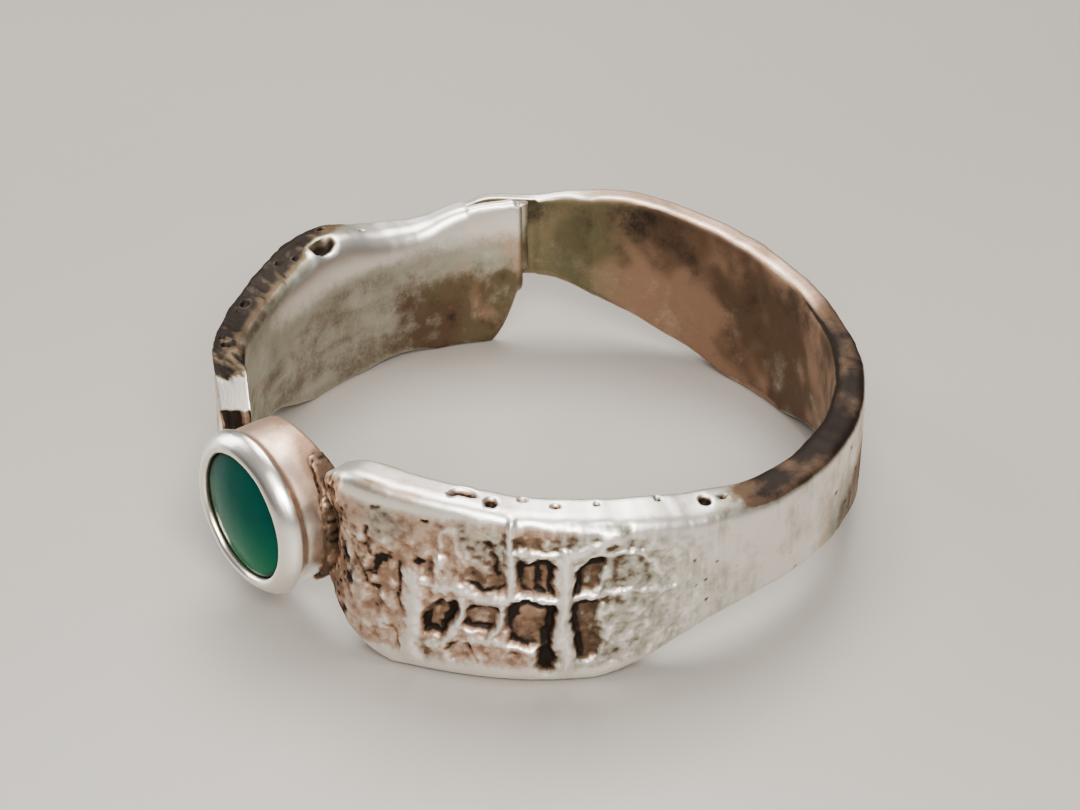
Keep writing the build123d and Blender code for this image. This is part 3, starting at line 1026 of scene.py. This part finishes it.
class Surface(Nodes):
    """A new material, with its shader and the position on the piece in millimetres."""

    def __init__(self, name):
        self.material = bpy.data.materials.new(name)
        super().__init__(self.material)
        self.shader = self.tree.nodes["Principled BSDF"]
        scale = self.add("ShaderNodeVectorMath", operation="SCALE")
        scale.inputs["Scale"].default_value = 1 / MM
        self.fill(scale.inputs[0], self.add("ShaderNodeTexCoord").outputs["Object"])
        self.millimetres = scale.outputs[0]

    def attribute(self, name):
        return self.add("ShaderNodeAttribute", attribute_name=name).outputs["Fac"]

    def noise(self, scale, detail=3.0, rough=0.55, stretch=None, distortion=0.0):
        vector = self.millimetres
        if stretch:
            mapping = self.add("ShaderNodeMapping")
            mapping.inputs["Scale"].default_value = stretch
            self.fill(mapping.inputs[0], vector)
            vector = mapping.outputs[0]
        node = self.add("ShaderNodeTexNoise")
        node.inputs["Scale"].default_value = scale
        node.inputs["Detail"].default_value = detail
        node.inputs["Roughness"].default_value = rough
        node.inputs["Distortion"].default_value = distortion
        self.fill(node.inputs["Vector"], vector)
        return node.outputs["Fac"]

    def bump(self, height, distance_mm, strength=1.0, before=None):
        node = self.add("ShaderNodeBump")
        node.inputs["Strength"].default_value = strength
        node.inputs["Distance"].default_value = distance_mm * MM
        self.fill(node.inputs["Height"], height)
        if before is not None:
            self.fill(node.inputs["Normal"], before)
        return node.outputs[0]

    def set(self, **sockets):
        for name, value in sockets.items():
            self.fill(self.shader.inputs[name.replace("_", " ")], value)


BRIGHT_SILVER = (0.93, 0.89, 0.83)
WARM_SILVER = (0.66, 0.50, 0.40)
GREY_SILVER = (0.54, 0.52, 0.44)
PEACH_PATINA = (0.36, 0.235, 0.165)
BROWN_PATINA = (0.16, 0.105, 0.07)
DARK_PATINA = (0.025, 0.017, 0.013)
OLIVE_PATINA = (0.23, 0.225, 0.13)
STONE_DEEP = (0.0, 0.066, 0.050)
STONE_LIGHT = (0.004, 0.145, 0.066)
STONE_VEIL = (0.001, 0.090, 0.075)
STONE_RIM_SHADE = (0.001, 0.012, 0.009)
BOARD_LOW = (0.36, 0.34, 0.315)
BOARD_HIGH = (0.41, 0.388, 0.36)
BOARD_FAR = (0.80, 0.775, 0.74)


def silver(name, smooth_roughness, grain, brush):
    """Worn silver: bright where tarnish is low, beige then brown and nearly black in the hollows."""
    n = Surface(name)
    tarnish = n.attribute("tarnish")
    warmth = n.attribute("warmth")
    olive = n.attribute("olive")
    mottle = n.noise(2.4, 5.0, 0.62)
    speckle = n.noise(9.0, 3.0, 0.6)
    fine = n.noise(26.0, 2.0, 0.6)
    # break the vertex values up with finer noise, so that no edge is clean
    level = n.vary(n.vary(tarnish, mottle, 0.20), speckle, 0.20)
    middle = n.blend(n.remap(warmth, 0.3, 0.7), GREY_SILVER, WARM_SILVER)
    patina = n.blend(n.remap(warmth, 0.4, 0.8), BROWN_PATINA, PEACH_PATINA)
    middle = n.blend(n.math("MULTIPLY", olive, 0.45), middle, OLIVE_PATINA)
    patina = n.blend(n.math("MULTIPLY", olive, 0.7), patina, OLIVE_PATINA)
    colour = n.blend(n.remap(level, 0.0, 0.38), BRIGHT_SILVER, middle)
    colour = n.blend(n.remap(level, 0.34, 0.74), colour, patina)
    colour = n.blend(n.remap(level, 0.74, 1.12), colour, DARK_PATINA)
    rough = n.math("ADD", n.remap(level, 0.0, 0.8, smooth_roughness, 0.55), n.math("MULTIPLY", fine, 0.08))
    metal = n.remap(level, 0.5, 1.1, 1.0, 0.6)
    scratches = n.noise(7.0, 4.0, 0.7, stretch=brush, distortion=0.4)
    normal = n.bump(fine, grain, 0.8)
    normal = n.bump(scratches, grain * 0.8, 0.7, normal)
    n.set(Base_Color=colour, Roughness=rough, Metallic=metal, Normal=normal)
    return n.material


def green_stone():
    """Deep green polished stone: cloudy, lighter towards its lower edge as a painted glow of light through
    it, and darkened by the rim as painted shade.
    """
    n = Surface("green_stone")
    split = n.add("ShaderNodeSeparateXYZ")
    n.fill(split.inputs[0], n.millimetres)
    height = n.math("SUBTRACT", split.outputs["Z"], STONE_Z)
    cloud = n.noise(0.9, 4.0, 0.5, distortion=0.6)
    veil = n.noise(3.5, 3.0, 0.6)
    # lighter towards the lower edge: painted glow of light through the stone
    light = n.vary(n.remap(height, 1.4, -2.4), cloud, 0.45)
    colour = n.blend(n.remap(light, 0.0, 1.0), STONE_DEEP, STONE_LIGHT)
    colour = n.blend(n.remap(veil, 0.5, 0.8, 0.0, 0.35), colour, STONE_VEIL)
    across = n.math("POWER", split.outputs["X"], 2.0)
    reach = n.math("SQRT", n.math("ADD", across, n.math("POWER", height, 2.0)))
    # darker near the rim: painted shade
    colour = n.blend(n.remap(reach, STONE_RADIUS - 0.38, STONE_RADIUS - 0.18), colour, STONE_RIM_SHADE)
    fine = n.noise(14.0, 2.0, 0.5)
    n.set(Base_Color=colour, Roughness=0.15, Normal=n.bump(fine, 0.0006, 0.5))
    n.set(IOR=1.25, Specular_IOR_Level=0.3)
    n.set(Subsurface_Weight=0.15, Subsurface_Scale=0.5 * MM)
    n.shader.inputs["Subsurface Radius"].default_value = (0.3, 1.0, 0.7)
    return n.material


def floor_material():
    """Pale warm-grey board, faintly uneven, with a soft sheen, and paler far from the ring as painted light
    that makes up for the dimmer far floor.
    """
    n = Surface("pale_board")
    cloud = n.noise(0.03, 3.0, 0.5)
    grit = n.noise(3.0, 3.0, 0.6)
    colour = n.blend(cloud, BOARD_LOW, BOARD_HIGH)
    far = n.length(n.millimetres)
    # paler far from the ring: painted light for the dimmer far floor
    colour = n.blend(n.remap(far, 110.0, 420.0), colour, BOARD_FAR)
    rough = n.math("ADD", 0.36, n.math("MULTIPLY", grit, 0.1))
    n.set(Base_Color=colour, Roughness=rough, Normal=n.bump(grit, 0.004, 0.5))
    return n.material


def dress(piece, material):
    """Gives a piece its one material."""
    piece.data.materials.clear()
    piece.data.materials.append(material)


forged = silver("forged_silver", smooth_roughness=0.36, grain=0.008, brush=(1.0, 1.0, 0.35))
polished = silver("polished_silver", smooth_roughness=0.26, grain=0.003, brush=(1.0, 0.4, 1.0))
solder = silver("pitted_solder", smooth_roughness=0.34, grain=0.010, brush=(1.0, 1.0, 1.0))
dress(wide_strip(), forged)
dress(short_strip(), forged)
dress(bezel_collar(), polished)
dress(bezel_floor(), polished)
dress(cabochon(), green_stone())
dress(seam_bead("right_seam_solder", "bezel_solder_right", start=-62, end=58, seed=501), solder)
dress(seam_bead("left_seam_solder", "bezel_solder_left", start=182, end=244, seed=521), solder)
dress(lap_solder(), solder)


# Floor, lights, camera
RING_MIDDLE = (0, 0, 3.0)
FRONT_RIGHT = (26, -20, 0)


def soft_light(name, location_mm, target_mm, size_mm, power, colour):
    """Rectangular area light aimed at a point."""
    light = bpy.data.lights.new(name, "AREA")
    light.shape = "RECTANGLE"
    light.size, light.size_y = size_mm[0] * MM, size_mm[1] * MM
    light.energy = power
    light.color = colour
    lamp = bpy.data.objects.new(name, light)
    bpy.context.scene.collection.objects.link(lamp)
    lamp.location = Vector(location_mm) * MM
    aim = Vector(target_mm) * MM - lamp.location
    lamp.rotation_mode = "QUATERNION"
    lamp.rotation_quaternion = aim.to_track_quat("-Z", "Y")


def pale_floor():
    """Square board, set a hair below the resting plane so that the two don't coincide."""
    size_mm, parts, gap_mm = 1200, 12, 0.02
    ticks = (np.arange(parts + 1) / parts - 0.5) * size_mm * MM
    points = [(x, y, -gap_mm * MM) for y in ticks for x in ticks]
    row = parts + 1
    faces = [(i * row + j, i * row + j + 1, (i + 1) * row + j + 1, (i + 1) * row + j)
             for i in range(parts) for j in range(parts)]
    mesh = bpy.data.meshes.new("pale_floor")
    mesh.from_pydata(points, [], faces)
    mesh.materials.append(floor_material())
    floor = bpy.data.objects.new("pale_floor", mesh)
    bpy.context.scene.collection.objects.link(floor)


def room_light():
    """Even grey room, brighter overhead than at the horizon, behind a pale backdrop."""
    horizon, overhead, overhead_from, backdrop = 0.05, 0.40, 0.8, 0.5
    world = bpy.data.worlds.new("studio")
    bpy.context.scene.world = world
    n = Nodes(world)
    split = n.add("ShaderNodeSeparateXYZ")
    n.fill(split.inputs[0], n.add("ShaderNodeTexCoord").outputs["Generated"])
    room = n.remap(split.outputs["Z"], 0.0, overhead_from, horizon, overhead)
    # the camera sees the backdrop, and everything else the room; a number mix takes its
    # share at input 0 and its two numbers at 2 and 3
    seen = n.add("ShaderNodeLightPath").outputs["Is Camera Ray"]
    strength = n.add("ShaderNodeMix")
    for slot, value in ((0, seen), (2, room), (3, backdrop)):
        n.fill(strength.inputs[slot], value)
    background = n.tree.nodes["Background"]
    n.fill(background.inputs["Color"], (0.82, 0.80, 0.78))
    n.fill(background.inputs["Strength"], strength.outputs[0])


def camera():
    """Camera at the photograph's viewing angle, aimed at the ring's middle."""
    azimuth, elevation = math.radians(51.4), math.radians(32)
    distance_mm, sensor_mm, lens_mm = 81.3, 36, 86
    target = Vector(RING_MIDDLE)
    across = math.cos(elevation)
    back = Vector((math.sin(azimuth) * across, -math.cos(azimuth) * across, math.sin(elevation)))
    lens = bpy.data.cameras.new("studio_camera")
    lens.sensor_width = sensor_mm
    lens.lens = lens_mm
    lens.clip_start = 1 * MM
    eye = bpy.data.objects.new("studio_camera", lens)
    bpy.context.scene.collection.objects.link(eye)
    eye.location = (target + back * distance_mm) * MM
    eye.rotation_mode = "QUATERNION"
    eye.rotation_quaternion = (-back).to_track_quat("-Z", "Y")
    bpy.context.scene.camera = eye


pale_floor()
room_light()
# name, place, aim, size, power and colour of each light
for lamp in (
    ("key", (-60, 40, 150), RING_MIDDLE, (110, 110), 0.28, (1.0, 0.98, 0.95)),
    ("front", (110, -70, 110), FRONT_RIGHT, (110, 70), 0.36, (1.0, 0.97, 0.93)),
    ("left", (-150, -60, 70), RING_MIDDLE, (60, 120), 0.12, (0.97, 1.0, 0.98)),
):
    soft_light(*lamp)
camera()
bpy.context.scene.view_settings.look = "AgX - Medium High Contrast"
